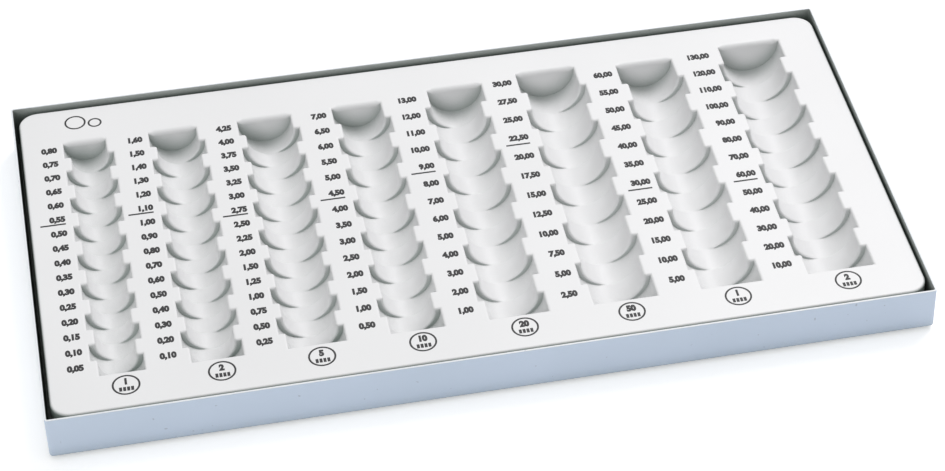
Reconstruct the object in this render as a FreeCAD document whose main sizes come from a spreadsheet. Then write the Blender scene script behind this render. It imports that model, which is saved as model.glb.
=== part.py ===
import FreeCAD, Part
import math
import os
import Sketcher

# A manual coin counting tray: a shallow folded sheet-metal case with a loose white moulded insert.
# The insert has eight staggered half-round channels, one for each size of coin.
# Lengths are millimetres. +X runs to the right, +Y to the back and +Z up.
# The origin is the middle of the case, on the plane that the rubber feet stand on.

# Driving dimensions of the case, the insert and the feet
SIZES = {
    "sheet_thickness": 0.8,
    "bend_inner_radius": 0.4,
    "rim_above_insert": 2.0,
    "gap_left": 1.85,
    "gap_right": 1.05,
    "gap_front": 2.7,
    "gap_back": 1.55,
    "insert_corner_radius": 8.0,
    "insert_edge_round": 1.5,
    "insert_wall": 1.0,
    "trough_floor_clearance": 0.9,
    "margin_left": 17.1,
    "margin_right": 17.65,
    "margin_front": 19.25,
    "margin_back": 14.95,
    "coins_per_step": 5,
    "bore_clearance": 1.0,
    "step_clearance": 0.46,
    "stagger": 2.6,
    "channel_edge_bevel": 0.7,
    "channel_straight_side": 0.5,
    "foot_diameter": 10.0,
    "foot_height": 1.2,
    "foot_inset": 16.0,
}

# One row for each channel from left to right: coin diameter, coin thickness, number of steps,
# and the flat land between this channel and the next one, which carries the next column of numbers
CHANNELS = [
    {"coin_diameter": 16.25, "coin_thickness": 1.67, "steps": 16, "land": 15.25},
    {"coin_diameter": 18.75, "coin_thickness": 1.67, "steps": 16, "land": 14.7},
    {"coin_diameter": 21.25, "coin_thickness": 1.67, "steps": 16, "land": 15.05},
    {"coin_diameter": 19.75, "coin_thickness": 1.93, "steps": 14, "land": 15.45},
    {"coin_diameter": 22.25, "coin_thickness": 2.14, "steps": 13, "land": 15.75},
    {"coin_diameter": 24.25, "coin_thickness": 2.38, "steps": 12, "land": 15.55},
    {"coin_diameter": 23.25, "coin_thickness": 2.33, "steps": 12, "land": 16.9},
    {"coin_diameter": 25.75, "coin_thickness": 2.20, "steps": 13},
]

QUARTER_TURN = math.pi / 2

doc = FreeCAD.newDocument("coin_tray")
sheet = doc.addObject("Spreadsheet::Sheet", "Sizes")


def fill_sheet():
    """Write every driving dimension into its own cell, with its name as the alias."""
    values = dict(SIZES)
    for number, channel in enumerate(CHANNELS, start=1):
        for name, value in channel.items():
            values["channel_%d_%s" % (number, name)] = value
    for row, (name, value) in enumerate(values.items(), start=1):
        sheet.set("A%d" % row, name.replace("_", " "))
        sheet.set("B%d" % row, str(value))
        sheet.setAlias("B%d" % row, name)
    doc.recompute()


def size(name):
    """The expression for one driving dimension."""
    return "Sizes." + name


def total(terms):
    return "(" + " + ".join(terms) + ")"


def bore(number):
    """The width of a channel: the coin and its clearance."""
    return total([size("channel_%d_coin_diameter" % number), size("bore_clearance")])


def step_length(number):
    """The length of one step of a channel: a handful of coins and their clearance."""
    coins = "%s * %s" % (size("coins_per_step"), size("channel_%d_coin_thickness" % number))
    return total([coins, size("step_clearance")])


def channel_length(number):
    return "(%s * %s)" % (size("channel_%d_steps" % number), step_length(number))


def channel_left(number):
    """The left side of a channel's left-hand steps, from the insert's left edge."""
    terms = [size("margin_left")]
    for earlier in range(1, number):
        terms += [bore(earlier), size("stagger"), size("channel_%d_land" % earlier)]
    return total(terms)


CHANNEL_NUMBERS = range(1, len(CHANNELS) + 1)
LAST_CHANNEL = len(CHANNELS)

INSERT_LENGTH = total([channel_left(LAST_CHANNEL), bore(LAST_CHANNEL), size("stagger"), size("margin_right")])
LONGEST_CHANNEL = "max(%s)" % "; ".join(channel_length(number) for number in CHANNEL_NUMBERS)
INSERT_DEPTH = total([size("margin_front"), LONGEST_CHANNEL, size("margin_back")])
WIDEST_BORE = "max(%s)" % "; ".join(bore(number) for number in CHANNEL_NUMBERS)
AXIS_DROP = total([size("channel_edge_bevel"), size("channel_straight_side")])
INSERT_HEIGHT = total(
    [AXIS_DROP, WIDEST_BORE + " / 2", size("insert_wall"), size("trough_floor_clearance")])
CASE_LENGTH = total([INSERT_LENGTH, size("gap_left"), size("gap_right"), "2 * " + size("sheet_thickness")])
CASE_DEPTH = total([INSERT_DEPTH, size("gap_front"), size("gap_back"), "2 * " + size("sheet_thickness")])
CASE_HEIGHT = total([size("sheet_thickness"), INSERT_HEIGHT, size("rim_above_insert")])
OUTER_BEND = total([size("bend_inner_radius"), size("sheet_thickness")])


def new_body(name):
    body = doc.addObject("PartDesign::Body", name)
    body.Label = name
    return body


def origin_feature(body, role):
    for feature in body.Origin.OriginFeatures:
        if feature.Role == role:
            return feature
    raise ValueError("no origin feature " + role)


def new_sketch(body, name, plane, offset=None):
    """A sketch on one of the body's origin planes, moved along the plane's normal by an expression."""
    sketch = body.newObject("Sketcher::SketchObject", name)
    sketch.AttachmentSupport = [(origin_feature(body, plane), "")]
    sketch.MapMode = "FlatFace"
    if offset is not None:
        sketch.setExpression("AttachmentOffset.Base.z", offset)
    return sketch


def place(body, x_expression, y_expression, z_expression):
    body.setExpression("Placement.Base.x", x_expression)
    body.setExpression("Placement.Base.y", y_expression)
    body.setExpression("Placement.Base.z", z_expression)


def value_of(expression):
    """The present value of an expression, which places a sketch's first, rough geometry."""
    return float(sheet.evalExpression(expression))


def bind(sketch, kind, arguments, name, expression):
    """Add a named dimension to a sketch and tie it to an expression."""
    sketch.addConstraint(Sketcher.Constraint(kind, *arguments, value_of(expression)))
    sketch.renameConstraint(sketch.ConstraintCount - 1, name)
    sketch.setExpression("Constraints." + name, expression)


def add_rectangle(sketch, left, front, width, depth):
    """A rectangle whose four dimensions are expressions."""
    low_x = value_of(left)
    low_y = value_of(front)
    high_x = low_x + value_of(width)
    high_y = low_y + value_of(depth)
    corners = [(low_x, low_y), (high_x, low_y), (high_x, high_y), (low_x, high_y)]
    for start, end in zip(corners, corners[1:] + corners[:1]):
        sketch.addGeometry(Part.LineSegment(FreeCAD.Vector(*start, 0), FreeCAD.Vector(*end, 0)), False)
    for line in range(4):
        sketch.addConstraint(Sketcher.Constraint("Coincident", line, 2, (line + 1) % 4, 1))
    for line, kind in enumerate(["Horizontal", "Vertical", "Horizontal", "Vertical"]):
        sketch.addConstraint(Sketcher.Constraint(kind, line))
    bind(sketch, "DistanceX", (-1, 1, 0, 1), "left", left)
    bind(sketch, "DistanceY", (-1, 1, 0, 1), "front", front)
    bind(sketch, "DistanceX", (0, 1, 0, 2), "width", width)
    bind(sketch, "DistanceY", (1, 1, 1, 2), "depth", depth)


def add_rounded_rectangle(sketch, left, front, width, depth, radius):
    """A rectangle with round corners, whose five dimensions are expressions."""
    low_x = value_of(left)
    low_y = value_of(front)
    high_x = low_x + value_of(width)
    high_y = low_y + value_of(depth)
    turn = value_of(radius)
    lines = [
        ((low_x + turn, low_y), (high_x - turn, low_y)),
        ((high_x, low_y + turn), (high_x, high_y - turn)),
        ((high_x - turn, high_y), (low_x + turn, high_y)),
        ((low_x, high_y - turn), (low_x, low_y + turn)),
    ]
    centres = [
        (high_x - turn, low_y + turn),
        (high_x - turn, high_y - turn),
        (low_x + turn, high_y - turn),
        (low_x + turn, low_y + turn),
    ]
    for start, end in lines:
        sketch.addGeometry(Part.LineSegment(FreeCAD.Vector(*start, 0), FreeCAD.Vector(*end, 0)), False)
    for number, centre in enumerate(centres):
        circle = Part.Circle(FreeCAD.Vector(*centre, 0), FreeCAD.Vector(0, 0, 1), turn)
        start_angle = (number - 1) * QUARTER_TURN
        sketch.addGeometry(Part.ArcOfCircle(circle, start_angle, start_angle + QUARTER_TURN), False)
    for number in range(4):
        sketch.addConstraint(Sketcher.Constraint("Tangent", number, 2, number + 4, 1))
        sketch.addConstraint(Sketcher.Constraint("Tangent", number + 4, 2, (number + 1) % 4, 1))
    for number in (5, 6, 7):
        sketch.addConstraint(Sketcher.Constraint("Equal", 4, number))
    for number, kind in enumerate(["Horizontal", "Vertical", "Horizontal", "Vertical"]):
        sketch.addConstraint(Sketcher.Constraint(kind, number))
    bind(sketch, "Radius", (4,), "radius", radius)
    bind(sketch, "DistanceX", (-1, 1, 3, 2), "left", left)
    bind(sketch, "DistanceY", (-1, 1, 0, 1), "front", front)
    bind(sketch, "DistanceX", (3, 2, 1, 1), "width", width)
    bind(sketch, "DistanceY", (0, 1, 2, 1), "depth", depth)


def edges_where(feature, test):
    """The names of the feature's edges whose bounding box passes a test."""
    return ["Edge%d" % number for number, edge in enumerate(feature.Shape.Edges, start=1) if test(edge.BoundBox)]


def add_fillet(body, name, base, edges, radius):
    fillet = body.newObject("PartDesign::Fillet", name)
    fillet.Base = (base, edges)
    fillet.setExpression("Radius", radius)
    doc.recompute()
    return fillet


def make_outer_case():
    """The open case, folded from one sheet: a flat floor and four upright walls."""
    body = new_body("outer_case")
    outline = new_sketch(body, "case_outline", "XY_Plane")
    add_rectangle(outline, "0", "0", CASE_LENGTH, CASE_DEPTH)
    blank = body.newObject("PartDesign::Pad", "case_blank")
    blank.Profile = outline
    blank.setExpression("Length", CASE_HEIGHT)
    doc.recompute()
    bends = edges_where(blank, lambda box: box.ZMax < 0.1)
    bent = add_fillet(body, "case_bends", blank, bends, OUTER_BEND)
    cavity_outline = new_sketch(body, "cavity_outline", "XY_Plane", size("sheet_thickness"))
    inner_length = "%s - 2 * %s" % (CASE_LENGTH, size("sheet_thickness"))
    inner_depth = "%s - 2 * %s" % (CASE_DEPTH, size("sheet_thickness"))
    add_rectangle(cavity_outline, size("sheet_thickness"), size("sheet_thickness"), inner_length, inner_depth)
    cavity = body.newObject("PartDesign::Pocket", "case_cavity")
    cavity.Profile = cavity_outline
    cavity.Reversed = True
    cavity.Type = "ThroughAll"
    doc.recompute()
    check_cut(bent, cavity)
    sheet_thickness = value_of(size("sheet_thickness"))
    length = value_of(CASE_LENGTH)
    depth = value_of(CASE_DEPTH)

    def is_inner(box):
        inside_x = box.XMin > sheet_thickness - 0.01 and box.XMax < length - sheet_thickness + 0.01
        inside_y = box.YMin > sheet_thickness - 0.01 and box.YMax < depth - sheet_thickness + 0.01
        on_floor = abs(box.ZMin - sheet_thickness) < 0.01 and box.ZLength < 0.01
        return inside_x and inside_y and on_floor

    add_fillet(body, "inner_bends", cavity, edges_where(cavity, is_inner), size("bend_inner_radius"))
    place(body, "-%s / 2" % CASE_LENGTH, "-%s / 2" % CASE_DEPTH, size("foot_height"))
    return body


def check_cut(before, after):
    if after.Shape.Volume >= before.Shape.Volume:
        raise RuntimeError(after.Name + " cuts nothing")


def add_trough_outline(sketch, number):
    """The outside of a trough: upright sides and a flat-bottomed round between them."""
    wall = size("insert_wall")
    left = "%s - %s" % (channel_left(number), wall)
    radius = total([bore(number) + " / 2", wall])
    x_left = value_of(left)
    r_out = value_of(radius)
    flat = value_of(size("stagger"))
    x_right = x_left + 2 * r_out + flat
    top = value_of(INSERT_HEIGHT)
    axis = top - value_of(AXIS_DROP)
    up = FreeCAD.Vector(0, 0, 1)
    left_arc = Part.Circle(FreeCAD.Vector(x_left + r_out, axis, 0), up, r_out)
    right_arc = Part.Circle(FreeCAD.Vector(x_right - r_out, axis, 0), up, r_out)
    geometry = [
        Part.LineSegment(FreeCAD.Vector(x_left, top, 0), FreeCAD.Vector(x_left, axis, 0)),
        Part.ArcOfCircle(left_arc, 2 * QUARTER_TURN, 3 * QUARTER_TURN),
        Part.LineSegment(
            FreeCAD.Vector(x_left + r_out, axis - r_out, 0), FreeCAD.Vector(x_right - r_out, axis - r_out, 0)),
        Part.ArcOfCircle(right_arc, 3 * QUARTER_TURN, 4 * QUARTER_TURN),
        Part.LineSegment(FreeCAD.Vector(x_right, axis, 0), FreeCAD.Vector(x_right, top, 0)),
        Part.LineSegment(FreeCAD.Vector(x_right, top, 0), FreeCAD.Vector(x_left, top, 0)),
    ]
    sketch.addGeometry(geometry, False)
    for first in range(4):
        sketch.addConstraint(Sketcher.Constraint("Tangent", first, 2, first + 1, 1))
    sketch.addConstraint(Sketcher.Constraint("Coincident", 4, 2, 5, 1))
    sketch.addConstraint(Sketcher.Constraint("Coincident", 5, 2, 0, 1))
    sketch.addConstraint(Sketcher.Constraint("Vertical", 0))
    sketch.addConstraint(Sketcher.Constraint("Vertical", 4))
    sketch.addConstraint(Sketcher.Constraint("Horizontal", 2))
    sketch.addConstraint(Sketcher.Constraint("Horizontal", 5))
    bind(sketch, "Radius", (1,), "outer_radius", radius)
    sketch.addConstraint(Sketcher.Constraint("Equal", 1, 3))
    bind(sketch, "DistanceX", (-1, 1, 0, 1), "left", left)
    bind(sketch, "DistanceY", (-1, 1, 0, 1), "top", INSERT_HEIGHT)
    bind(sketch, "DistanceY", (0, 2, 0, 1), "straight", AXIS_DROP)
    bind(sketch, "DistanceX", (2, 1, 2, 2), "flat", size("stagger"))


def add_groove_outline(sketch, number, left):
    """The inside of a step: a half-round floor, short upright sides and bevelled top edges."""
    bevel = value_of(size("channel_edge_bevel"))
    width = value_of(bore(number))
    x_left = value_of(left)
    x_right = x_left + width
    top = value_of(INSERT_HEIGHT)
    shoulder = top - bevel
    axis = top - value_of(AXIS_DROP)
    floor_circle = Part.Circle(FreeCAD.Vector(x_left + width / 2, axis, 0), FreeCAD.Vector(0, 0, 1), width / 2)
    sketch.addGeometry(Part.ArcOfCircle(floor_circle, 2 * QUARTER_TURN, 4 * QUARTER_TURN), False)
    corners = [
        (x_right, axis),
        (x_right, shoulder),
        (x_right + bevel, top),
        (x_left - bevel, top),
        (x_left, shoulder),
        (x_left, axis),
    ]
    for start, end in zip(corners, corners[1:]):
        sketch.addGeometry(Part.LineSegment(FreeCAD.Vector(*start, 0), FreeCAD.Vector(*end, 0)), False)
    sketch.addConstraint([
        Sketcher.Constraint("Tangent", 0, 2, 1, 1),
        Sketcher.Constraint("Coincident", 1, 2, 2, 1),
        Sketcher.Constraint("Coincident", 2, 2, 3, 1),
        Sketcher.Constraint("Coincident", 3, 2, 4, 1),
        Sketcher.Constraint("Coincident", 4, 2, 5, 1),
        Sketcher.Constraint("Tangent", 5, 2, 0, 1),
        Sketcher.Constraint("Vertical", 1),
        Sketcher.Constraint("Horizontal", 3),
        Sketcher.Constraint("Vertical", 5),
        Sketcher.Constraint("Equal", 1, 5),
    ])
    bind(sketch, "DistanceX", (5, 2, 1, 1), "bore", bore(number))
    bind(sketch, "DistanceX", (-1, 1, 5, 2), "left", left)
    bind(sketch, "DistanceY", (-1, 1, 3, 1), "top", INSERT_HEIGHT)
    bind(sketch, "DistanceY", (1, 1, 1, 2), "straight", size("channel_straight_side"))
    bind(sketch, "DistanceY", (1, 2, 2, 2), "right_bevel_drop", size("channel_edge_bevel"))
    bind(sketch, "DistanceX", (1, 2, 2, 2), "right_bevel_width", size("channel_edge_bevel"))
    bind(sketch, "DistanceX", (3, 2, 4, 2), "left_bevel_width", size("channel_edge_bevel"))


def add_trough(body, number):
    """The outside of one channel, hanging below the plate."""
    start = "-(%s - %s)" % (size("margin_front"), size("insert_wall"))
    sketch = new_sketch(body, "trough_%d_outline" % number, "XZ_Plane", start)
    add_trough_outline(sketch, number)
    trough = body.newObject("PartDesign::Pad", "trough_%d" % number)
    trough.Profile = sketch
    trough.Reversed = True
    trough.setExpression("Length", "%s + 2 * %s" % (channel_length(number), size("insert_wall")))
    trough.Refine = False
    return trough


def add_steps(body, number, side, left, first_step, count):
    """Every second step of one channel, as a first pocket and its copies along Y."""
    start = "-(%s + %s * %s)" % (size("margin_front"), first_step, step_length(number))
    sketch = new_sketch(body, "channel_%d_%s_outline" % (number, side), "XZ_Plane", start)
    add_groove_outline(sketch, number, left)
    step = body.newObject("PartDesign::Pocket", "channel_%d_%s_step" % (number, side))
    step.Profile = sketch
    step.setExpression("Length", step_length(number))
    step.Refine = False
    steps = body.newObject("PartDesign::LinearPattern", "channel_%d_%s_steps" % (number, side))
    steps.Originals = [step]
    steps.Direction = (origin_feature(body, "Y_Axis"), [""])
    steps.Mode = "Spacing"
    steps.setExpression("Offset", "2 * " + step_length(number))
    steps.setExpression("Occurrences", count)
    steps.Refine = False
    body.Tip = steps
    return steps


def make_coin_insert():
    """The white insert: a plate with a skirt, and eight troughs of staggered steps."""
    body = new_body("coin_insert")
    wall = size("insert_wall")
    outline = new_sketch(body, "insert_outline", "XY_Plane")
    corner = size("insert_corner_radius")
    add_rounded_rectangle(outline, "0", "0", INSERT_LENGTH, INSERT_DEPTH, corner)
    blank = body.newObject("PartDesign::Pad", "insert_blank")
    blank.Profile = outline
    blank.setExpression("Length", INSERT_HEIGHT)
    doc.recompute()
    height = value_of(INSERT_HEIGHT)
    brow = edges_where(blank, lambda box: box.ZMin > height - 0.1)
    crowned = add_fillet(body, "insert_brow", blank, brow, size("insert_edge_round"))

    hollow_outline = new_sketch(body, "hollow_outline", "XY_Plane")
    inner_length = "%s - 2 * %s" % (INSERT_LENGTH, wall)
    inner_depth = "%s - 2 * %s" % (INSERT_DEPTH, wall)
    add_rounded_rectangle(hollow_outline, wall, wall, inner_length, inner_depth, "%s - %s" % (corner, wall))
    hollow = body.newObject("PartDesign::Pocket", "insert_hollow")
    hollow.Profile = hollow_outline
    hollow.Reversed = True
    hollow.setExpression("Length", "%s - %s" % (INSERT_HEIGHT, wall))
    doc.recompute()
    check_cut(crowned, hollow)

    for number in CHANNEL_NUMBERS:
        add_trough(body, number)
    for number in CHANNEL_NUMBERS:
        right = total([channel_left(number), size("stagger")])
        steps = size("channel_%d_steps" % number)
        add_steps(body, number, "right", right, "0", "ceil(%s / 2)" % steps)
        add_steps(body, number, "left", channel_left(number), "1", "floor(%s / 2)" % steps)
    place(
        body,
        "%s + %s - %s / 2" % (size("sheet_thickness"), size("gap_left"), CASE_LENGTH),
        "%s + %s - %s / 2" % (size("sheet_thickness"), size("gap_front"), CASE_DEPTH),
        "%s + %s" % (size("foot_height"), size("sheet_thickness")))
    return body


def make_foot(name, x_sign, y_sign):
    """A low round rubber foot under one corner of the case."""
    body = new_body(name)
    outline = new_sketch(body, name + "_outline", "XY_Plane")
    outline.addGeometry(Part.Circle(FreeCAD.Vector(0, 0, 0), FreeCAD.Vector(0, 0, 1), 5), False)
    outline.addConstraint(Sketcher.Constraint("Coincident", 0, 3, -1, 1))
    bind(outline, "Diameter", (0,), "across", size("foot_diameter"))
    disc = body.newObject("PartDesign::Pad", name + "_disc")
    disc.Profile = outline
    disc.setExpression("Length", size("foot_height"))
    x_place = "%s * (%s / 2 - %s)" % (x_sign, CASE_LENGTH, size("foot_inset"))
    y_place = "%s * (%s / 2 - %s)" % (y_sign, CASE_DEPTH, size("foot_inset"))
    place(body, x_place, y_place, "0")
    return body


def check_document():
    """Stop if anything in the document failed to build."""
    for item in doc.Objects:
        if "Invalid" in item.State or "Error" in item.State:
            raise RuntimeError("%s failed: %s" % (item.Name, item.State))


def write_part(body):
    shape = body.Shape
    if shape.isNull() or not shape.isValid():
        raise RuntimeError(body.Label + " has no valid shape")
    shape.exportStep(os.path.join("parts", body.Label + ".step"))
    box = shape.BoundBox
    print("%-18s solids %d faces %4d  x %.2f..%.2f  y %.2f..%.2f  z %.2f..%.2f" % (
        body.Label, len(shape.Solids), len(shape.Faces),
        box.XMin, box.XMax, box.YMin, box.YMax, box.ZMin, box.ZMax))


fill_sheet()
parts = [make_outer_case(), make_coin_insert()]
for side, x_sign in (("left", "-1"), ("right", "1")):
    for end, y_sign in (("front", "-1"), ("back", "1")):
        parts.append(make_foot("foot_%s_%s" % (end, side), x_sign, y_sign))
doc.recompute()
check_document()
os.makedirs("parts", exist_ok=True)
for body in parts:
    write_part(body)
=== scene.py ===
import math

import bmesh
import bpy
from mathutils import Matrix, Quaternion, Vector


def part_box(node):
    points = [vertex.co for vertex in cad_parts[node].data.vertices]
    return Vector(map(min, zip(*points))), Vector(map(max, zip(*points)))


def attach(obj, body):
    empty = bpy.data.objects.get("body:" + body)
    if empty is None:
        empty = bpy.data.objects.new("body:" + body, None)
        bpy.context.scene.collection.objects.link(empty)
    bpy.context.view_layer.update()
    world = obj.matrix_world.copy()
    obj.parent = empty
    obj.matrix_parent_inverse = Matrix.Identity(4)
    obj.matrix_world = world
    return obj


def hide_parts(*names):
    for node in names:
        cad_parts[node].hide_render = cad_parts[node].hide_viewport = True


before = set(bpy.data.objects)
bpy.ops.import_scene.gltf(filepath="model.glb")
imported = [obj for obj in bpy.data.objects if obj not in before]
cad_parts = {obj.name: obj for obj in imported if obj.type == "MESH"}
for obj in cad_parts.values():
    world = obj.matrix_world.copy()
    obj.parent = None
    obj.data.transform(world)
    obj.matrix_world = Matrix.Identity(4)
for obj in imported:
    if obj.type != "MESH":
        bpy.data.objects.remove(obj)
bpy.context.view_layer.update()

# Lengths are millimetres, apart from the lamps, the floor and the materials, which are in metres.
MM = 0.001

# The insert's channels, from left to right: coin diameter, coin thickness, steps, and the land to the right
COINS = [
    (16.25, 1.67, 16, 15.25),
    (18.75, 1.67, 16, 14.7),
    (21.25, 1.67, 16, 15.05),
    (19.75, 1.93, 14, 15.45),
    (22.25, 2.14, 13, 15.75),
    (24.25, 2.38, 12, 15.55),
    (23.25, 2.33, 12, 16.9),
    (25.75, 2.20, 13, 0.0),
]
COINS_PER_STEP = 5
BORE_CLEARANCE = 1.0
STEP_CLEARANCE = 0.46
STAGGER = 2.6
MARGIN_LEFT = 17.1
MARGIN_FRONT = 19.25
EDGE_ROUND = 0.9
STRAIGHT_SIDE = 0.3
LIP_ROUND = 1.1
SIDE_BLEND_ANGLE = 50
BACK_EDGE_ROUND = 2.2
BACK_EDGE_BLEND = 2.5
INSERT_WALL = 1.0
INSERT_CORNER_RADIUS = 8.0
INSERT_BROW_RADIUS = 1.1

# The sheet case
SHEET_THICKNESS = 0.8
BEND_INNER_RADIUS = 0.4
CASE_CORNER_RADIUS = 1.5
RIM_ROUND = 0.15

# A foot's section from the dish under it outwards: the reach as a share of the radius, and the height
FOOT_UNDERSIDE = [(0.55, 0.18), (0.68, 0.04), (0.76, 0.0), (0.90, 0.0), (0.97, 0.08), (1.0, 0.25)]
FOOT_TOP_ROUND = 0.15
FOOT_TOP_REACH = 0.97


def multiples(value, last, skipped=()):
    """Multiples of a value, from the last one down to the value itself."""
    return [value * number for number in range(last, 0, -1) if number not in skipped]


# The print: the values beside the steps from the back, the underlined step counted from the front,
# and the numbers in the rings
VALUES = [
    multiples(0.05, 16),
    multiples(0.10, 16),
    multiples(0.25, 17, skipped=[7]),
    multiples(0.50, 14),
    multiples(1.00, 13),
    multiples(2.50, 12),
    multiples(5.00, 12),
    multiples(10.00, 13),
]
UNDERLINED_STEP = [11, 11, 10, 9, 9, 9, 6, 6]
COIN_NUMBERS = ["1", "2", "5", "10", "20", "50", "1", "2"]
PRINT_HEIGHT = 0.03
PRINT_DEPTH = 0.02
LABEL_GAP = 2.9
LABEL_SIZE = 4.3
LABEL_SQUEEZE = 0.84
LABEL_BOLD = 0.08
LABEL_RISE = 0.60
BAR_LENGTH = 10.1
BAR_WIDTH = 0.85
BAR_RISE = 0.26
RING_RADIUS = 5.4
RING_WIDTH = 0.75
RING_SHIFT = 3.3
RING_IN_FRONT = 7.35
NUMBER_RISE = 1.75
MARKS_IN_RING = 4
MARK_SPACING = 1.5
MARK_WIDTH = 1.1
MARK_LENGTH = 2.2
MARK_DROP = 3.3

# The two plain rings near the back left corner: x, y and radius
COIN_MARKS = [(-148.4, 82.4, 4.4), (-140.4, 80.9, 2.9)]

# How finely the curved shapes are divided, the angles in degrees above which an edge stays sharp,
# and how strongly large flat faces keep their own shading
CORNER_POINTS = 10
BROW_POINTS = 6
FLOOR_POINTS = 40
EDGE_POINTS = 5
LIP_POINTS = 5
BEND_POINTS = 5
INNER_BEND_POINTS = 3
RIM_POINTS = 3
FOOT_POINTS = 48
RING_POINTS = 64
LETTER_POINTS = 3
SHARP_ANGLE = 32
FOOT_SHARP_ANGLE = 40
FLAT_FACE_WEIGHT = 100

# The place of each coat among the case's materials: the outside paint, the inside in painted shade, and the
# rim with a painted highlight
OUTSIDE, INSIDE, RIM = range(3)

# Where a colour range starts and ends on a noise, and where specks start and are full
NOISE_LOW = 0.3
NOISE_HIGH = 0.7
SPECK_START = 0.825
SPECK_FULL = 0.86

# The painted shade where a surface is closed in: how far it looks round, and how open the darkest and clear
# places are
PAINTED_SHADE_REACH = 0.012
PAINTED_SHADE_SAMPLES = 8
PAINTED_SHADE_DARKEST = 0.25
PAINTED_SHADE_CLEAR = 0.78

# The camera, fitted to the photograph with its sideways shift held at this value
CAMERA_PLACE = (-140.87, -894.96, 797.81)
CAMERA_AIM = (75.51, -37.83, 18.48)
CAMERA_ROLL = 1.48
CAMERA_LENS = 111.52
CAMERA_SENSOR = 36.0
CAMERA_SHIFT_X = -0.20
CAMERA_NEAREST = 10.0

# The floor, the sky and the lamps
FLOOR_SIZE = 20.0
FLOOR_COLOUR = (0.88, 0.88, 0.88)
FLOOR_ROUGHNESS = 0.9
FLOOR_GLOW = 0.35
SKY_COLOUR = (0.99, 1.0, 0.995)
SKY_DIRECTION = (0.15, 0.25, 0.95)
SKY_LOW_END = -0.2
SKY_LOW = 0.15
SKY_HIGH = 0.9
KEY_LAMP = {
    "place": (0.7, 0.75, 1.25),
    "aim": (0.05, 0, 0),
    "width": 0.9,
    "power": 12.4,
    "colour": (1.0, 0.98, 1.0),
}
FILL_LAMP = {
    "place": (-1.0, -1.3, 1.0),
    "aim": (0, 0, 0),
    "width": 0.8,
    "power": 6.6,
    "colour": (0.98, 0.99, 1.0),
}


def node_box(node):
    """The low and high corner of a node of the frame, in millimetres."""
    return [[value / MM for value in corner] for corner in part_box(node)]


INSERT_LOW, INSERT_HIGH = node_box("coin_insert")
CASE_LOW, CASE_HIGH = node_box("outer_case")
INSERT_TOP = INSERT_HIGH[2]
SHOULDER = INSERT_TOP - EDGE_ROUND
BORE_AXIS = SHOULDER - STRAIGHT_SIDE
PLATE_UNDER = INSERT_TOP - INSERT_WALL
CHANNEL_FRONT = INSERT_LOW[1] + MARGIN_FRONT
PRINT_BASE = INSERT_TOP - PRINT_DEPTH
PRINT_TOP = INSERT_TOP + PRINT_HEIGHT


class Channel:
    """One channel's place and size, worked out from its coin."""

    def __init__(self, left, diameter, thickness, steps):
        self.radius = (diameter + BORE_CLEARANCE) / 2
        self.left = left
        self.step = COINS_PER_STEP * thickness + STEP_CLEARANCE
        self.steps = steps
        self.length = steps * self.step

    def centre(self, step):
        """The middle of a step: every other one, from the front, stands to the right."""
        shift = STAGGER if step % 2 == 0 else 0.0
        return self.left + shift + self.radius

    def right(self):
        return self.left + STAGGER + 2 * self.radius


def lay_out_channels():
    channels = []
    left = INSERT_LOW[0] + MARGIN_LEFT
    for diameter, thickness, steps, land in COINS:
        channel = Channel(left, diameter, thickness, steps)
        channels.append(channel)
        left = channel.right() + land
    return channels


CHANNELS = lay_out_channels()


# Mesh helpers

def new_piece(name, bm, body, materials):
    """Turn a bmesh in millimetres into a piece that rides on a body."""
    bmesh.ops.scale(bm, vec=Vector((MM, MM, MM)), verts=bm.verts)
    bmesh.ops.recalc_face_normals(bm, faces=bm.faces)
    mesh = bpy.data.meshes.new(name)
    bm.to_mesh(mesh)
    bm.free()
    piece = bpy.data.objects.new(name, mesh)
    bpy.context.scene.collection.objects.link(piece)
    for material in materials:
        mesh.materials.append(material)
    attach(piece, body)
    return piece


def smooth(piece, angle):
    """Shade a piece smooth up to an angle, with its flat faces kept flat."""
    mesh = piece.data
    mesh.polygons.foreach_set("use_smooth", [True] * len(mesh.polygons))
    bm = bmesh.new()
    bm.from_mesh(mesh)
    for edge in bm.edges:
        folded = len(edge.link_faces) == 2 and edge.calc_face_angle(0.0) > math.radians(angle)
        edge.smooth = not folded
    bm.to_mesh(mesh)
    bm.free()
    weighted = piece.modifiers.new("flat_faces", "WEIGHTED_NORMAL")
    weighted.keep_sharp = True
    weighted.weight = FLAT_FACE_WEIGHT


def eased(share):
    """A share held between 0 and 1, with a soft start and a soft end."""
    share = min(max(share, 0.0), 1.0)
    return share * share * (3 - 2 * share)


def quarter_turn(points):
    """The sine and cosine along a quarter turn."""
    for number in range(points + 1):
        angle = 0.5 * math.pi * number / points
        yield math.sin(angle), math.cos(angle)


def rectangle_points(low, high, radius):
    """The points of a rounded rectangle, anticlockwise from its front right corner."""
    centres = [
        (high[0] - radius, low[1] + radius, -0.5 * math.pi),
        (high[0] - radius, high[1] - radius, 0.0),
        (low[0] + radius, high[1] - radius, 0.5 * math.pi),
        (low[0] + radius, low[1] + radius, math.pi),
    ]
    for x, y, start in centres:
        for number in range(CORNER_POINTS + 1):
            angle = start + 0.5 * math.pi * number / CORNER_POINTS
            yield x + radius * math.cos(angle), y + radius * math.sin(angle)


def add_outlines(bm, low, high, corner_radius, section):
    """A ring for each step of a section, which is a list of insets from a rounded box's sides and heights."""
    rings = []
    for inset, z in section:
        low_in = (low[0] + inset, low[1] + inset)
        high_in = (high[0] - inset, high[1] - inset)
        points = rectangle_points(low_in, high_in, corner_radius - inset)
        rings.append([bm.verts.new((x, y, z)) for x, y in points])
    return rings


def add_circle(bm, middle, radius, z, points):
    circle = []
    for number in range(points):
        angle = 2 * math.pi * number / points
        x = middle[0] + radius * math.cos(angle)
        y = middle[1] + radius * math.sin(angle)
        circle.append(bm.verts.new((x, y, z)))
    return circle


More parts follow.
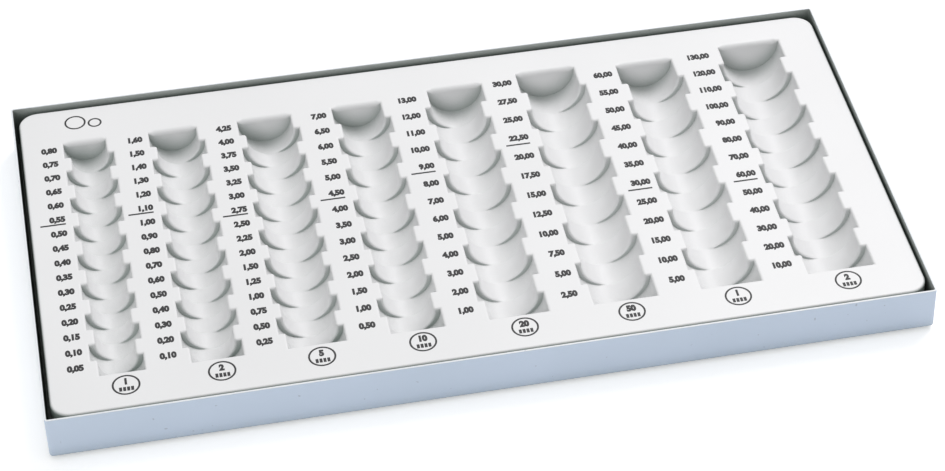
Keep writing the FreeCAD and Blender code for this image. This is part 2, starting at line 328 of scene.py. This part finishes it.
def join_rings(bm, rings):
    """Quads between each closed ring and the next."""
    faces = []
    for lower, upper in zip(rings, rings[1:]):
        for number in range(len(lower)):
            corners = (lower[number - 1], lower[number], upper[number], upper[number - 1])
            faces.append(bm.faces.new(corners))
    return faces


def join_rows(bm, rows):
    """Quads between open rows of points, with triangles where two rows share an end."""
    for first, second in zip(rows, rows[1:]):
        for number in range(len(first) - 1):
            corners = (first[number], first[number + 1], second[number + 1], second[number])
            bm.faces.new(list(dict.fromkeys(corners)))


def fill_between(bm, loops):
    """Fill a flat face that has holes, from its outline and the holes' outlines."""
    edges = []
    for loop in loops:
        for number, vert in enumerate(loop):
            ends = (loop[number - 1], vert)
            edges.append(bm.edges.get(ends) or bm.edges.new(ends))
    bmesh.ops.triangle_fill(bm, use_beauty=True, use_dissolve=False, edges=edges)


# The insert

def turn_rows():
    """Where a channel's two sides are, row by row, as its steps change side.

    A step that stands proud ends in a rounded lip, and the wall opposite it ends in a sharp corner. Each row
    holds two places: first for the side whose lip comes after the change, then for the side whose lip comes
    before it. A place is the distance along the channel from the change, and the share of the shift.
    """
    across = LIP_ROUND / STAGGER
    after = [(0.0, 0.0)]
    before = []
    for sine, cosine in quarter_turn(LIP_POINTS):
        after.append((LIP_ROUND * (1 - cosine), 1 - across * (1 - sine)))
        before.append((-LIP_ROUND * (1 - sine), across * (1 - cosine)))
    before.append((0.0, 1.0))
    return list(zip(after, before))


def side_share(angle):
    """How much a point on the bore belongs to the right side: 0 at the left, 1 at the right."""
    return eased(0.5 + (angle - 1.5 * math.pi) / math.radians(SIDE_BLEND_ANGLE))


def bore_row(bm, channel, left, right):
    """One row of points across a channel, from the left shoulder to the right.

    Each side is given as its middle and its distance along the channel.
    """
    row = []
    for number in range(-1, FLOOR_POINTS + 2):
        angle = math.pi + math.pi * min(max(number, 0), FLOOR_POINTS) / FLOOR_POINTS
        share = side_share(angle)
        middle = left[0] + (right[0] - left[0]) * share
        along = left[1] + (right[1] - left[1]) * share
        on_shoulder = number in (-1, FLOOR_POINTS + 1)
        z = SHOULDER if on_shoulder else BORE_AXIS + channel.radius * math.sin(angle)
        row.append(bm.verts.new((middle + channel.radius * math.cos(angle), CHANNEL_FRONT + along, z)))
    return row


def bore_rows(bm, channel):
    """All the rows of a channel, from the front."""
    start = (channel.centre(0), 0.0)
    rows = [bore_row(bm, channel, start, start)]
    for step in range(1, channel.steps):
        old = channel.centre(step - 1)
        shift = channel.centre(step) - old
        for places in turn_rows():
            sides = [(old + shift * share, step * channel.step + along) for along, share in places]
            left, right = sides if shift > 0 else reversed(sides)
            rows.append(bore_row(bm, channel, left, right))
    end = (channel.centre(channel.steps - 1), channel.length)
    rows.append(bore_row(bm, channel, end, end))
    return rows


def add_end_wall(bm, row, edge_round):
    """The upright half-moon that closes a channel, with a top edge whose rounding grows away from its ends.

    Returns the top edge, without the two corners.
    """
    top = []
    for vert in row[2:-2]:
        from_end = min(vert.co.x - row[0].co.x, row[-1].co.x - vert.co.x)
        rounding = EDGE_ROUND + (edge_round - EDGE_ROUND) * eased(from_end / BACK_EDGE_BLEND)
        top.append(bm.verts.new((vert.co.x, vert.co.y, INSERT_TOP - rounding)))
    join_rows(bm, [row[1:-1], [row[0]] + top + [row[-1]]])
    return top


def round_over(loop, sine, cosine):
    """Where an anticlockwise outline's points go at one step of the round edge above them."""
    places = []
    for number, vert in enumerate(loop):
        before = (vert.co - loop[number - 1].co).xy.normalized()
        after = (loop[(number + 1) % len(loop)].co - vert.co).xy.normalized()
        first = Vector((before.y, -before.x))
        second = Vector((after.y, -after.x))
        outward = (first + second) / (1 + first.dot(second))
        rounding = INSERT_TOP - vert.co.z
        distance = rounding * (1 - cosine)
        z = vert.co.z + rounding * sine
        places.append((vert.co.x + outward.x * distance, vert.co.y + outward.y * distance, z))
    return places


def add_channel(bm, channel):
    """The inside of a channel. Returns its outline on the insert's top face."""
    rows = bore_rows(bm, channel)
    join_rows(bm, rows)
    front_edge = add_end_wall(bm, rows[0], EDGE_ROUND)
    back_edge = add_end_wall(bm, rows[-1], BACK_EDGE_ROUND)
    shoulder = [row[0] for row in reversed(rows)] + front_edge
    shoulder += [row[-1] for row in rows] + list(reversed(back_edge))
    rings = [shoulder]
    for sine, cosine in list(quarter_turn(EDGE_POINTS))[1:]:
        rings.append([bm.verts.new(place) for place in round_over(shoulder, sine, cosine)])
    join_rings(bm, rings)
    return rings[-1]


def add_trough(bm, channel):
    """The outside of a channel, under the plate. Returns its outline on the plate's underside."""
    radius = channel.radius + INSERT_WALL
    left = channel.left + channel.radius
    right = left + STAGGER
    profile = [(left - radius, PLATE_UNDER)]
    for number in range(FLOOR_POINTS + 1):
        angle = math.pi + math.pi * number / FLOOR_POINTS
        middle = left if 2 * number <= FLOOR_POINTS else right
        profile.append((middle + radius * math.cos(angle), BORE_AXIS + radius * math.sin(angle)))
    profile.append((right + radius, PLATE_UNDER))
    rows = []
    for y in (CHANNEL_FRONT - INSERT_WALL, CHANNEL_FRONT + channel.length + INSERT_WALL):
        rows.append([bm.verts.new((x, y, z)) for x, z in profile])
    join_rows(bm, rows)
    for row in rows:
        bm.faces.new(row)
    return [rows[0][0], rows[0][-1], rows[1][-1], rows[1][0]]


def make_insert(material):
    """The white insert, with its rounded brow, skirt, channels and troughs."""
    section = []
    for sine, cosine in quarter_turn(BROW_POINTS):
        section.append((INSERT_BROW_RADIUS * (1 - sine), INSERT_TOP - INSERT_BROW_RADIUS * (1 - cosine)))
    section += [(0, INSERT_LOW[2]), (INSERT_WALL, INSERT_LOW[2]), (INSERT_WALL, PLATE_UNDER)]
    bm = bmesh.new()
    rings = add_outlines(bm, INSERT_LOW, INSERT_HIGH, INSERT_CORNER_RADIUS, section)
    join_rings(bm, rings)
    mouths = [add_channel(bm, channel) for channel in CHANNELS]
    fill_between(bm, [rings[0]] + mouths)
    troughs = [add_trough(bm, channel) for channel in CHANNELS]
    fill_between(bm, [rings[-1]] + troughs)
    piece = new_piece("insert_moulding", bm, "insert", [material])
    smooth(piece, SHARP_ANGLE)
    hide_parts("coin_insert")


# The case and its feet

def case_sections():
    """The bent sheet's section in four runs: the bend outside, the rim outside and inside, the bend inside.

    A run is a list of insets from the case's outside and heights.
    """
    bottom = CASE_LOW[2]
    top = CASE_HIGH[2]
    bend = BEND_INNER_RADIUS + SHEET_THICKNESS
    bend_outside = []
    for sine, cosine in quarter_turn(BEND_POINTS):
        bend_outside.append((bend * (1 - sine), bottom + bend * (1 - cosine)))
    rim_outside = []
    rim_inside = []
    for sine, cosine in quarter_turn(RIM_POINTS):
        rim_outside.append((RIM_ROUND * (1 - cosine), top - RIM_ROUND * (1 - sine)))
        rim_inside.append((SHEET_THICKNESS - RIM_ROUND * (1 - sine), top - RIM_ROUND * (1 - cosine)))
    bend_inside = []
    for sine, cosine in quarter_turn(INNER_BEND_POINTS):
        inset = SHEET_THICKNESS + BEND_INNER_RADIUS * (1 - cosine)
        bend_inside.append((inset, bottom + SHEET_THICKNESS + BEND_INNER_RADIUS * (1 - sine)))
    return bend_outside, rim_outside, rim_inside, bend_inside


def make_case(coats):
    """The folded sheet case, with bends all round the bottom and at the four corners."""
    bm = bmesh.new()
    bend_outside, rim_outside, rim_inside, bend_inside = (
        add_outlines(bm, CASE_LOW, CASE_HIGH, CASE_CORNER_RADIUS, section) for section in case_sections())
    join_rings(bm, bend_outside + rim_outside[:1])
    for face in join_rings(bm, rim_outside + rim_inside):
        face.material_index = RIM
    for face in join_rings(bm, rim_inside[-1:] + bend_inside):
        face.material_index = INSIDE
    underside = bm.faces.new(bend_outside[0])
    underside.material_index = OUTSIDE
    floor = bm.faces.new(bend_inside[-1])
    floor.material_index = INSIDE
    piece = new_piece("case_folded_sheet", bm, "case", coats)
    smooth(piece, SHARP_ANGLE)
    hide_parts("outer_case")


def make_foot(node, material):
    """A round pad with softened edges and a shallow dish in its underside."""
    low, high = node_box(node)
    radius = (high[0] - low[0]) / 2
    middle = ((low[0] + high[0]) / 2, (low[1] + high[1]) / 2)
    height = high[2] - low[2]
    section = FOOT_UNDERSIDE + [(1.0, height - FOOT_TOP_ROUND), (FOOT_TOP_REACH, height)]
    bm = bmesh.new()
    rings = [add_circle(bm, middle, radius * reach, low[2] + rise, FOOT_POINTS) for reach, rise in section]
    join_rings(bm, rings)
    bm.faces.new(rings[0])
    bm.faces.new(rings[-1])
    piece = new_piece(node + "_pad", bm, "case", [material])
    smooth(piece, FOOT_SHARP_ANGLE)
    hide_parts(node)


# The print on the insert

def add_text(bm, words, x, y, align="RIGHT"):
    """Letters as thin raised ink, with their right end or their middle at a place."""
    curve = bpy.data.curves.new("letters", "FONT")
    curve.body = words
    curve.align_x = align
    curve.align_y = "CENTER"
    curve.size = LABEL_SIZE
    curve.extrude = PRINT_DEPTH
    curve.bevel_depth = LABEL_BOLD * LABEL_SIZE
    curve.bevel_resolution = 0
    curve.resolution_u = LETTER_POINTS
    letters = bpy.data.objects.new("letters", curve)
    mesh = bpy.data.meshes.new_from_object(letters)
    flatten = Matrix.Diagonal((LABEL_SQUEEZE, 1, PRINT_HEIGHT / (PRINT_DEPTH + curve.bevel_depth), 1))
    mesh.transform(Matrix.Translation((x, y, INSERT_TOP)) @ flatten)
    bm.from_mesh(mesh)
    bpy.data.objects.remove(letters)
    bpy.data.curves.remove(curve)
    bpy.data.meshes.remove(mesh)


def add_block(bm, left, right, front, back):
    """A flat bar of ink."""
    corners = [(left, front), (right, front), (right, back), (left, back)]
    rings = [[bm.verts.new((x, y, z)) for x, y in corners] for z in (PRINT_BASE, PRINT_TOP)]
    join_rings(bm, rings)
    for ring in rings:
        bm.faces.new(ring)


def add_hoop(bm, middle, radius):
    """A flat ring of ink."""
    inner = radius - RING_WIDTH
    section = [(radius, PRINT_BASE), (radius, PRINT_TOP), (inner, PRINT_TOP), (inner, PRINT_BASE)]
    rings = [add_circle(bm, middle, reach, z, RING_POINTS) for reach, z in section]
    join_rings(bm, rings + rings[:1])


def add_values(bm, channel, values, underlined_step):
    """The values beside a channel's steps, with a bar under one of them."""
    right = channel.left - LABEL_GAP
    for place, value in enumerate(values):
        step = channel.steps - 1 - place
        words = f"{value:.2f}".replace(".", ",")
        add_text(bm, words, right, CHANNEL_FRONT + (step + LABEL_RISE) * channel.step)
    bar_y = CHANNEL_FRONT + (underlined_step - 1 + BAR_RISE) * channel.step
    add_block(bm, right - BAR_LENGTH, right, bar_y - BAR_WIDTH / 2, bar_y + BAR_WIDTH / 2)


def add_coin_ring(bm, channel, coin_number):
    """The ring in front of a channel, with the coin's number over a row of plain marks."""
    x = channel.left + channel.radius + RING_SHIFT
    y = CHANNEL_FRONT - RING_IN_FRONT
    add_hoop(bm, (x, y), RING_RADIUS)
    add_text(bm, coin_number, x, y + NUMBER_RISE, "CENTER")
    for place in range(MARKS_IN_RING):
        left = x + (place - (MARKS_IN_RING - 1) / 2) * MARK_SPACING - MARK_WIDTH / 2
        add_block(bm, left, left + MARK_WIDTH, y - MARK_DROP, y - MARK_DROP + MARK_LENGTH)


def make_print(ink):
    """The plain numbers, underlines and rings printed round each channel."""
    columns = zip(CHANNELS, VALUES, UNDERLINED_STEP, COIN_NUMBERS)
    for number, (channel, values, underlined_step, coin_number) in enumerate(columns, start=1):
        bm = bmesh.new()
        add_values(bm, channel, values, underlined_step)
        add_coin_ring(bm, channel, coin_number)
        new_piece(f"channel_{number}_print", bm, "insert", [ink])
    bm = bmesh.new()
    for x, y, radius in COIN_MARKS:
        add_hoop(bm, (x, y), radius)
    new_piece("coin_marks_print", bm, "insert", [ink])


# Materials

def new_material(name, base_colour, roughness):
    """A material with its node tree and its shader."""
    material = bpy.data.materials.new(name)
    material.use_nodes = True
    tree = material.node_tree
    shader = tree.nodes["Principled BSDF"]
    shader.inputs["Base Color"].default_value = (*base_colour, 1)
    shader.inputs["Roughness"].default_value = roughness
    return material, tree, shader


def add_noise(tree, scale, detail):
    place = tree.nodes.new("ShaderNodeTexCoord")
    noise = tree.nodes.new("ShaderNodeTexNoise")
    noise.inputs["Scale"].default_value = scale
    noise.inputs["Detail"].default_value = detail
    tree.links.new(place.outputs["Object"], noise.inputs["Vector"])
    return noise.outputs["Fac"]


def add_colour_range(tree, noise, dark, light):
    """A colour that wanders between two with a noise."""
    ramp = tree.nodes.new("ShaderNodeValToRGB")
    ramp.color_ramp.elements[0].position = NOISE_LOW
    ramp.color_ramp.elements[0].color = (*dark, 1)
    ramp.color_ramp.elements[1].position = NOISE_HIGH
    ramp.color_ramp.elements[1].color = (*light, 1)
    tree.links.new(noise, ramp.inputs["Fac"])
    return ramp.outputs["Color"]


def add_specks(tree, paint, speck):
    """Small spots of another colour, scattered over a paint."""
    noise = add_noise(tree, scale=600.0, detail=0.0)
    sparse = tree.nodes.new("ShaderNodeMapRange")
    sparse.inputs["From Min"].default_value = SPECK_START
    sparse.inputs["From Max"].default_value = SPECK_FULL
    tree.links.new(noise, sparse.inputs["Value"])
    mix = tree.nodes.new("ShaderNodeMix")
    mix.data_type = "RGBA"
    mix.inputs["B"].default_value = (*speck, 1)
    tree.links.new(sparse.outputs["Result"], mix.inputs["Factor"])
    tree.links.new(paint, mix.inputs["A"])
    return mix.outputs["Result"]


def add_painted_shade(tree, base, shade_colour):
    """Darken a colour where the surface is closed in: painted shade, from an ambient-occlusion node."""
    closeness = tree.nodes.new("ShaderNodeAmbientOcclusion")
    closeness.samples = PAINTED_SHADE_SAMPLES
    closeness.inputs["Distance"].default_value = PAINTED_SHADE_REACH
    shade = tree.nodes.new("ShaderNodeValToRGB")
    shade.color_ramp.elements[0].position = PAINTED_SHADE_DARKEST
    shade.color_ramp.elements[0].color = (*shade_colour, 1)
    shade.color_ramp.elements[1].position = PAINTED_SHADE_CLEAR
    tree.links.new(closeness.outputs["AO"], shade.inputs["Fac"])
    mix = tree.nodes.new("ShaderNodeMix")
    mix.data_type = "RGBA"
    mix.blend_type = "MULTIPLY"
    mix.inputs["Factor"].default_value = 1.0
    tree.links.new(base, mix.inputs["A"])
    tree.links.new(shade.outputs["Color"], mix.inputs["B"])
    return mix.outputs["Result"]


def vary_roughness(tree, shader, noise, low, high):
    values = tree.nodes.new("ShaderNodeMapRange")
    values.inputs["To Min"].default_value = low
    values.inputs["To Max"].default_value = high
    tree.links.new(noise, values.inputs["Value"])
    tree.links.new(values.outputs["Result"], shader.inputs["Roughness"])


def add_bump(tree, shader, noise, strength, depth):
    bump = tree.nodes.new("ShaderNodeBump")
    bump.inputs["Strength"].default_value = strength
    bump.inputs["Distance"].default_value = depth
    tree.links.new(noise, bump.inputs["Height"])
    tree.links.new(bump.outputs["Normal"], shader.inputs["Normal"])


def white_plastic():
    """Satin moulded plastic, slightly uneven in colour, with painted shade where it is closed in."""
    material, tree, shader = new_material("white_moulded_plastic", (0.75, 0.75, 0.755), 0.4)
    broad = add_noise(tree, scale=14.0, detail=2.0)
    plastic = add_colour_range(tree, broad, dark=(0.735, 0.735, 0.74), light=(0.76, 0.76, 0.765))
    # Painted shade: a grey-green tint in the channels' ends, lips and corners, where shade falls
    with_painted_shade = add_painted_shade(tree, plastic, (0.40, 0.46, 0.43))
    tree.links.new(with_painted_shade, shader.inputs["Base Color"])
    grain = add_noise(tree, scale=1600.0, detail=2.0)
    vary_roughness(tree, shader, grain, 0.38, 0.48)
    add_bump(tree, shader, grain, strength=0.10, depth=0.00005)
    return material


def powder_coat(name, dark, light, speck, painted_shade_colour):
    """Powder coat with a fine orange peel and a few specks, and painted shade where it is closed in."""
    material, tree, shader = new_material(name, light, 0.45)
    broad = add_noise(tree, scale=20.0, detail=3.0)
    paint = add_colour_range(tree, broad, dark, light)
    # Painted shade in the closed-in places, in the given shade colour
    with_painted_shade = add_painted_shade(tree, add_specks(tree, paint, speck), painted_shade_colour)
    tree.links.new(with_painted_shade, shader.inputs["Base Color"])
    orange_peel = add_noise(tree, scale=900.0, detail=3.0)
    vary_roughness(tree, shader, orange_peel, 0.38, 0.52)
    add_bump(tree, shader, orange_peel, strength=0.25, depth=0.00008)
    return material


def outside_coat():
    return powder_coat(
        "blue_grey_powder_coat",
        dark=(0.59, 0.685, 0.82),
        light=(0.62, 0.715, 0.86),
        speck=(0.46, 0.53, 0.64),
        # The colour of the painted shade in the outside paint's closed-in places
        painted_shade_colour=(0.45, 0.50, 0.48),
    )


def inside_painted_shade_coat():
    # Painted shade: the inside faces get a darker grey-green copy of the case's paint, where they lie in
    # shade
    return powder_coat(
        "painted_shade_inside_coat",
        dark=(0.58, 0.61, 0.59),
        light=(0.62, 0.65, 0.63),
        speck=(0.36, 0.38, 0.37),
        painted_shade_colour=(0.22, 0.25, 0.235),
    )


def rim_painted_highlight_coat():
    # Painted highlight: a lighter, whiter copy of the paint on the rim's top edge, where light catches it
    return powder_coat(
        "painted_highlight_rim_coat",
        dark=(0.74, 0.77, 0.80),
        light=(0.80, 0.82, 0.84),
        speck=(0.60, 0.62, 0.66),
        painted_shade_colour=(0.70, 0.72, 0.72),
    )


def foot_rubber():
    material, tree, shader = new_material("black_rubber", (0.02, 0.02, 0.02), 0.8)
    grain = add_noise(tree, scale=700.0, detail=3.0)
    rubber = add_colour_range(tree, grain, dark=(0.015, 0.015, 0.016), light=(0.03, 0.03, 0.032))
    tree.links.new(rubber, shader.inputs["Base Color"])
    vary_roughness(tree, shader, grain, 0.7, 0.9)
    add_bump(tree, shader, grain, strength=0.3, depth=0.0001)
    return material


def printing_ink():
    material, tree, shader = new_material("black_printing_ink", (0.01, 0.01, 0.011), 0.5)
    grain = add_noise(tree, scale=2200.0, detail=3.0)
    ink = add_colour_range(tree, grain, dark=(0.006, 0.006, 0.007), light=(0.016, 0.016, 0.018))
    tree.links.new(ink, shader.inputs["Base Color"])
    vary_roughness(tree, shader, grain, 0.45, 0.65)
    add_bump(tree, shader, grain, strength=0.15, depth=0.00002)
    return material


# Camera, floor and light

def make_camera():
    data = bpy.data.cameras.new("camera")
    data.lens = CAMERA_LENS
    data.sensor_width = CAMERA_SENSOR
    data.shift_x = CAMERA_SHIFT_X
    data.clip_start = CAMERA_NEAREST * MM
    camera = bpy.data.objects.new("camera", data)
    bpy.context.scene.collection.objects.link(camera)
    place = Vector(CAMERA_PLACE) * MM
    look = Vector(CAMERA_AIM) * MM - place
    roll = Quaternion((0, 0, 1), math.radians(CAMERA_ROLL))
    camera.location = place
    camera.rotation_mode = "QUATERNION"
    camera.rotation_quaternion = look.to_track_quat("-Z", "Y") @ roll
    bpy.context.scene.camera = camera


def add_seen_rays(tree):
    """One for the rays that see or mirror a background, and zero for the rays that light the object."""
    ray = tree.nodes.new("ShaderNodeLightPath")
    seen = ray.outputs["Is Camera Ray"]
    for kind in ("Is Glossy Ray", "Is Transmission Ray"):
        either = tree.nodes.new("ShaderNodeMath")
        either.operation = "MAXIMUM"
        tree.links.new(seen, either.inputs[0])
        tree.links.new(ray.outputs[kind], either.inputs[1])
        seen = either.outputs["Value"]
    return seen


def make_floor():
    """A matt floor that keeps its shadow, and looks white to the camera where nothing shades it."""
    bm = bmesh.new()
    bmesh.ops.create_grid(bm, x_segments=1, y_segments=1, size=FLOOR_SIZE / 2)
    mesh = bpy.data.meshes.new("floor")
    bm.to_mesh(mesh)
    bm.free()
    floor = bpy.data.objects.new("floor", mesh)
    bpy.context.scene.collection.objects.link(floor)
    material, tree, shader = new_material("pale_floor", FLOOR_COLOUR, FLOOR_ROUGHNESS)
    glow = tree.nodes.new("ShaderNodeMath")
    glow.operation = "MULTIPLY"
    glow.inputs[1].default_value = FLOOR_GLOW
    tree.links.new(add_seen_rays(tree), glow.inputs[0])
    shader.inputs["Emission Color"].default_value = (1, 1, 1, 1)
    tree.links.new(glow.outputs["Value"], shader.inputs["Emission Strength"])
    mesh.materials.append(material)


def add_area_light(name, place, aim, width, power, colour):
    data = bpy.data.lights.new(name, "AREA")
    data.shape = "DISK"
    data.size = width
    data.energy = power
    data.color = colour
    light = bpy.data.objects.new(name, data)
    bpy.context.scene.collection.objects.link(light)
    light.location = Vector(place)
    light.rotation_mode = "QUATERNION"
    light.rotation_quaternion = (Vector(aim) - Vector(place)).to_track_quat("-Z", "Y")


def make_sky():
    """A soft sky that is brightest nearly overhead, and plain white where it is seen or mirrored."""
    world = bpy.data.worlds.new("studio")
    world.use_nodes = True
    tree = world.node_tree
    background = tree.nodes["Background"]
    background.inputs["Color"].default_value = (*SKY_COLOUR, 1)
    place = tree.nodes.new("ShaderNodeTexCoord")
    upward = tree.nodes.new("ShaderNodeVectorMath")
    upward.operation = "DOT_PRODUCT"
    upward.inputs[1].default_value = SKY_DIRECTION
    strength = tree.nodes.new("ShaderNodeMapRange")
    strength.inputs["From Min"].default_value = SKY_LOW_END
    strength.inputs["To Min"].default_value = SKY_LOW
    strength.inputs["To Max"].default_value = SKY_HIGH
    tree.links.new(place.outputs["Generated"], upward.inputs[0])
    tree.links.new(upward.outputs["Value"], strength.inputs["Value"])
    white = tree.nodes.new("ShaderNodeMath")
    white.operation = "MAXIMUM"
    tree.links.new(strength.outputs["Result"], white.inputs[0])
    tree.links.new(add_seen_rays(tree), white.inputs[1])
    tree.links.new(white.outputs["Value"], background.inputs["Strength"])
    bpy.context.scene.world = world


def main():
    make_camera()
    make_floor()
    add_area_light("key", **KEY_LAMP)
    add_area_light("front_fill", **FILL_LAMP)
    make_sky()
    make_insert(white_plastic())
    make_case([outside_coat(), inside_painted_shade_coat(), rim_painted_highlight_coat()])
    rubber = foot_rubber()
    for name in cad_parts:
        if name.startswith("foot"):
            make_foot(name, rubber)
    make_print(printing_ink())


main()
bpy.context.scene.view_settings.view_transform = "Standard"
bpy.context.view_layer.update()
